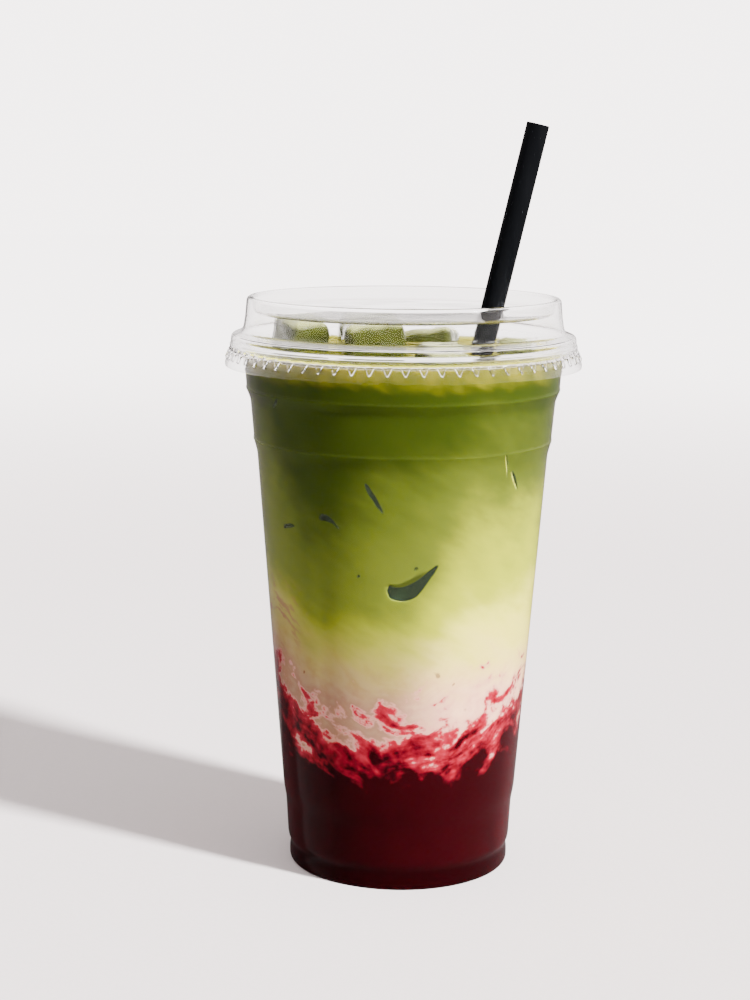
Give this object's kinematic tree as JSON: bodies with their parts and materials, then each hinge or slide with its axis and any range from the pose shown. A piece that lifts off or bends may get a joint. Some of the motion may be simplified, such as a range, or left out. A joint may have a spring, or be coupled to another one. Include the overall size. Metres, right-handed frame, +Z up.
{
  "type": "iced matcha latte",
  "caption": "Layered iced drink in a clear take-away cup with a flat clear lid, a leaning black straw and ice blocks standing out of it.",
  "frame": {"origin": "centre of the cup's foot, on the surface it stands on", "axes": "+Z up along the cup's axis; the straw leans towards +X; the side in the picture faces -Y"},
  "size_m": [0.1024, 0.1026, 0.2167],
  "materials": {
    "cup_plastic": "clear thin plastic, glossy",
    "lid_plastic": "clear thin plastic, glossy",
    "straw_plastic": "black, satin",
    "fruit_puree": "dark red fruit puree behind the clear wall",
    "milk": "cream white milk, streaked with green and red",
    "matcha": "cloudy green matcha",
    "ice": "clear melting ice"
  },
  "bodies": {
    "root": {"cup": "cup_plastic", "lid": "lid_plastic", "straw": "straw_plastic", "fruit_layer": "fruit_puree", "milk_layer": "milk", "matcha_layer": "matcha", "ice_centre": "ice", "ice_left": "ice", "ice_right": "ice", "ice_front": "ice", "ice_back": "ice"}
  },
  "joints": []
}
